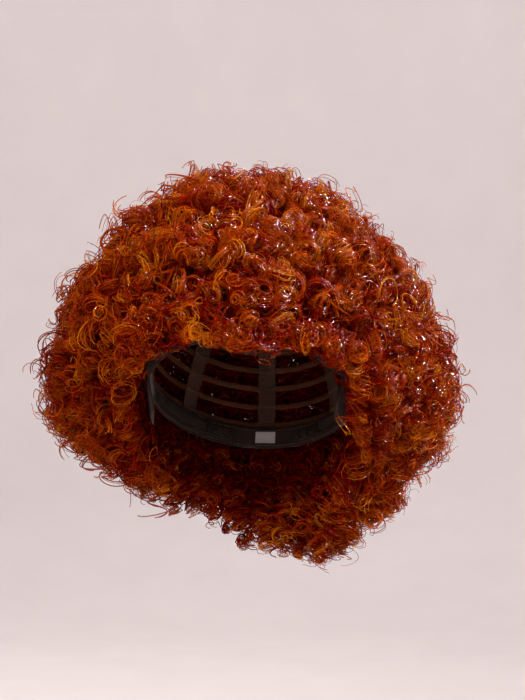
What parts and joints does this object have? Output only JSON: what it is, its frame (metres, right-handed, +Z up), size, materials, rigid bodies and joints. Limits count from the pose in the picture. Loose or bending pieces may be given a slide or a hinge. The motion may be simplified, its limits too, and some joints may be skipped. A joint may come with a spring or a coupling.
{
  "type": "costume wig",
  "caption": "Short curly costume wig with a fringe, on a wefted elastic cap with folding ear tabs and a hook-and-loop size adjuster at the nape.",
  "frame": {"origin": "the point inside the cap that sits on top of the head", "axes": "+Z up, -Y the way the wearer faces, +X the wearer's left"},
  "size_m": [0.3108, 0.3015, 0.296],
  "materials": {
    "curl_fibre": "glossy synthetic curls, auburn",
    "cap_net": "open rose net, dark brown",
    "band_fabric": "soft brushed, dark brown",
    "elastic": "woven elastic, near black",
    "ribbon_elastic": "ribbed elastic, dark brown",
    "weft_tape": "machine-stitched tape, brown",
    "label_satin": "plain white satin, blank",
    "stay_plastic": "flat flexible strip",
    "hook_plastic": "moulded, black"
  },
  "bodies": {
    "cap": {"crown_net": "cap_net", "front_band": "band_fabric", "nape_band": "elastic", "crown_swirl": "weft_tape", "size_label": "label_satin", "hair_crown_front_left": "curl_fibre", "hair_crown_front_right": "curl_fibre", "hair_crown_back_left": "curl_fibre", "hair_crown_back_right": "curl_fibre", "hair_fringe_left": "curl_fibre", "hair_fringe_right": "curl_fibre", "hair_temple_left": "curl_fibre", "hair_temple_right": "curl_fibre", "hair_back_upper_left": "curl_fibre", "hair_back_upper_right": "curl_fibre", "hair_side_front_left": "curl_fibre", "hair_side_front_right": "curl_fibre", "hair_side_back_left": "curl_fibre", "hair_side_back_right": "curl_fibre", "hair_back_lower_left": "curl_fibre", "hair_back_lower_right": "curl_fibre", "hair_hem_left": "curl_fibre", "hair_hem_right": "curl_fibre", "hair_nape_left": "curl_fibre", "hair_nape_right": "curl_fibre", "hair_fringe_centre": "curl_fibre", "ribbon_front": "ribbon_elastic", "ribbon_front_left": "ribbon_elastic", "ribbon_side_left": "ribbon_elastic", "ribbon_back_left": "ribbon_elastic", "ribbon_back": "ribbon_elastic", "ribbon_back_right": "ribbon_elastic", "ribbon_side_right": "ribbon_elastic", "ribbon_front_right": "ribbon_elastic", "weft_track_1": "weft_tape", "weft_track_2": "weft_tape", "weft_track_3": "weft_tape", "weft_track_4": "weft_tape", "weft_track_5": "weft_tape", "weft_track_6": "weft_tape", "weft_track_7": "weft_tape", "weft_track_8": "weft_tape", "weft_track_9": "weft_tape", "hook_loops_left": "elastic", "strap_left": "elastic", "hook_loops_right": "elastic", "strap_right": "elastic"},
    "hook_left": {"hook_left": "hook_plastic"},
    "ear_tab_left": {"ear_tab_left": "band_fabric", "ear_stay_left": "stay_plastic"},
    "hook_right": {"hook_right": "hook_plastic"},
    "ear_tab_right": {"ear_tab_right": "band_fabric", "ear_stay_right": "stay_plastic"}
  },
  "joints": [
    {"name": "hook_left_travel", "type": "hinge", "parent": "cap", "child": "hook_left", "pos_m": [-0.00784, 0.01859, -0.12005], "axis": [0, 0.4384, 0.8988], "range_deg": [-12.1, 12.1], "deforming": ["strap_left", "hook_loops_left"]},
    {"name": "hook_right_travel", "type": "hinge", "parent": "cap", "child": "hook_right", "pos_m": [0.00784, 0.01859, -0.12005], "axis": [0, -0.4384, -0.8988], "range_deg": [-12.1, 12.1], "deforming": ["strap_right", "hook_loops_right"]},
    {"name": "ear_tab_left_fold", "type": "hinge", "parent": "cap", "child": "ear_tab_left", "pos_m": [0.07384, -0.02337, -0.1096], "axis": [0.1622, 0.8869, -0.4326], "range_deg": [0, 25], "stiffness_Nm_per_rad": 0.002},
    {"name": "ear_tab_right_fold", "type": "hinge", "parent": "cap", "child": "ear_tab_right", "pos_m": [-0.07384, -0.02337, -0.1096], "axis": [0.1622, -0.8869, 0.4326], "range_deg": [0, 25], "stiffness_Nm_per_rad": 0.002}
  ]
}
